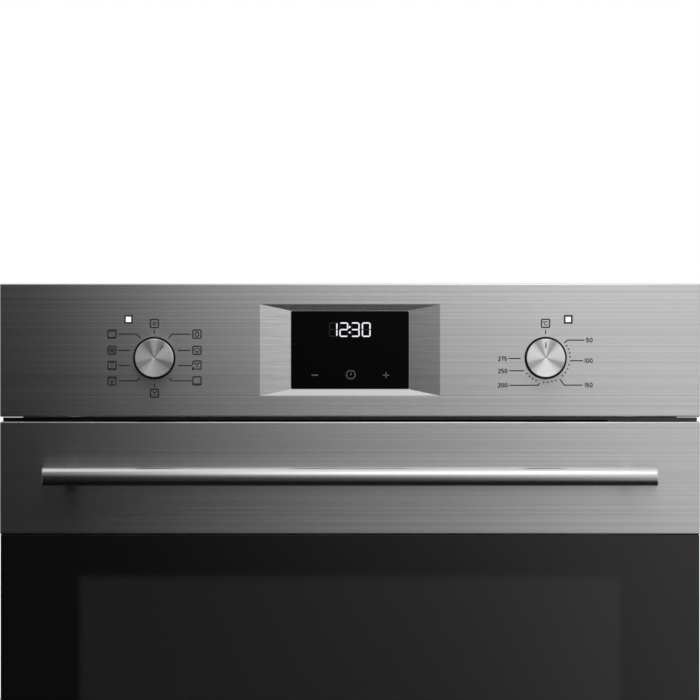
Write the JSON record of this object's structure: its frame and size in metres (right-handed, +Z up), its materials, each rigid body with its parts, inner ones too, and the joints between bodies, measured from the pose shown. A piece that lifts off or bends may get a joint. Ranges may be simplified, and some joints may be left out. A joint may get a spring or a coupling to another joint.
{
  "type": "wall oven",
  "caption": "Built-in electric wall oven with a stainless control fascia, a digital clock between rotary knobs, and a drop-down glazed door with a bar handle.",
  "frame": {"origin": "middle of the underside of the oven, on the surface it stands on", "axes": "+Z up; -Y is the front, where the fascia and the door are; +X is to the right seen from the front"},
  "size_m": [0.596, 0.62, 0.596],
  "materials": {
    "stainless": "horizontally brushed stainless steel",
    "stainless_bright": "finely brushed stainless tube",
    "turned_aluminium": "turned face with fine rings, bright chamfer",
    "black_plastic": "black moulded plastic",
    "plated_steel": "bright zinc plate",
    "black_glass": "black-backed toughened glass",
    "clear_glass": "clear heat-resistant glass",
    "circuit_plastic": "grey moulded plastic",
    "lamp_white": "white light pipe, lit",
    "galvanised_steel": "galvanised sheet",
    "cast_aluminium": "plain pressed aluminium",
    "motor_steel": "laminated and pressed motor steel",
    "black_steel": "black powder coat",
    "black_enamel": "black vitreous enamel",
    "grey_enamel": "speckled dark grey vitreous enamel",
    "seal_rubber": "silicone and braid seal",
    "glass_wool": "glass-wool blanket",
    "element_sheath": "heat-darkened steel sheath",
    "white_ceramic": "unglazed ceramic",
    "chromed_wire": "chromed wire",
    "copper": "copper tube"
  },
  "bodies": {
    "chassis": {"air_duct_deck": "galvanised_steel", "base_pan": "galvanised_steel", "blower_housing": "galvanised_steel", "blower_motor": "motor_steel", "cable_gland": "black_plastic", "casing_screws": "plated_steel", "cavity_back_wall": "grey_enamel", "cavity_liner": "grey_enamel", "control_fascia": "stainless", "display_glass": "black_glass", "display_module": "circuit_plastic", "door_gasket": "seal_rubber", "fan_baffle": "grey_enamel", "fan_motor": "motor_steel", "fascia_carrier": "galvanised_steel", "front_frame": "black_enamel", "function_switch": "circuit_plastic", "hinge_arms": "plated_steel", "hinge_receivers": "galvanised_steel", "indicator_bezels": "black_plastic", "indicator_lenses": "lamp_white", "insulation_wrap": "glass_wool", "lamp_bulb": "clear_glass", "lamp_glass": "clear_glass", "lamp_holder": "white_ceramic", "left_side_panel": "galvanised_steel", "lower_element": "element_sheath", "rear_cover": "galvanised_steel", "right_side_panel": "galvanised_steel", "ring_element": "element_sheath", "side_rack_left": "chromed_wire", "side_rack_right": "chromed_wire", "terminal_block": "circuit_plastic", "thermostat": "motor_steel", "thermostat_capillary": "copper", "top_cover": "galvanised_steel", "upper_element": "element_sheath", "vent_grille": "black_plastic"},
    "door": {"door_top_panel": "stainless", "door_bottom_panel": "stainless", "outer_glass": "black_glass", "middle_glass": "clear_glass", "inner_glass": "clear_glass", "door_column_left": "black_steel", "door_column_right": "black_steel", "door_vent_strip": "black_plastic", "handle_bar": "stainless_bright", "handle_posts": "stainless_bright", "hinge_bodies": "plated_steel", "hinge_pins": "plated_steel"},
    "function_knob": {"function_knob_cap": "turned_aluminium", "function_knob_core": "black_plastic", "function_spindle": "plated_steel"},
    "temperature_knob": {"temperature_knob_cap": "turned_aluminium", "temperature_knob_core": "black_plastic", "temperature_spindle": "plated_steel"},
    "convection_fan": {"fan_wheel": "cast_aluminium"},
    "cooling_fan": {"blower_wheel": "cast_aluminium"},
    "shelf": {"wire_shelf": "chromed_wire"},
    "tray": {"baking_tray": "grey_enamel"}
  },
  "joints": [
    {"name": "door_hinge", "type": "hinge", "parent": "chassis", "child": "door", "pos_m": [0, -0.252, 0.02], "axis": [1, 0, 0], "range_deg": [0, 90], "stiffness_Nm_per_rad": 8, "springref_deg": -20.05},
    {"name": "function_turn", "type": "hinge", "parent": "chassis", "child": "function_knob", "pos_m": [-0.1666, -0.265, 0.53265], "axis": [0, 1, 0], "continuous": true},
    {"name": "temperature_turn", "type": "hinge", "parent": "chassis", "child": "temperature_knob", "pos_m": [0.1666, -0.265, 0.53265], "axis": [0, 1, 0], "range_deg": [0, 275]},
    {"name": "convection_fan_spin", "type": "hinge", "parent": "chassis", "child": "convection_fan", "pos_m": [0, 0.2, 0.25], "axis": [0, 1, 0], "continuous": true},
    {"name": "cooling_fan_spin", "type": "hinge", "parent": "chassis", "child": "cooling_fan", "pos_m": [0, 0.15, 0.512], "axis": [1, 0, 0], "continuous": true},
    {"name": "shelf_slide", "type": "slide", "parent": "chassis", "child": "shelf", "axis": [0, -1, 0], "range_m": [0, 0.035]},
    {"name": "tray_slide", "type": "slide", "parent": "chassis", "child": "tray", "axis": [0, -1, 0], "range_m": [0, 0.035]}
  ]
}
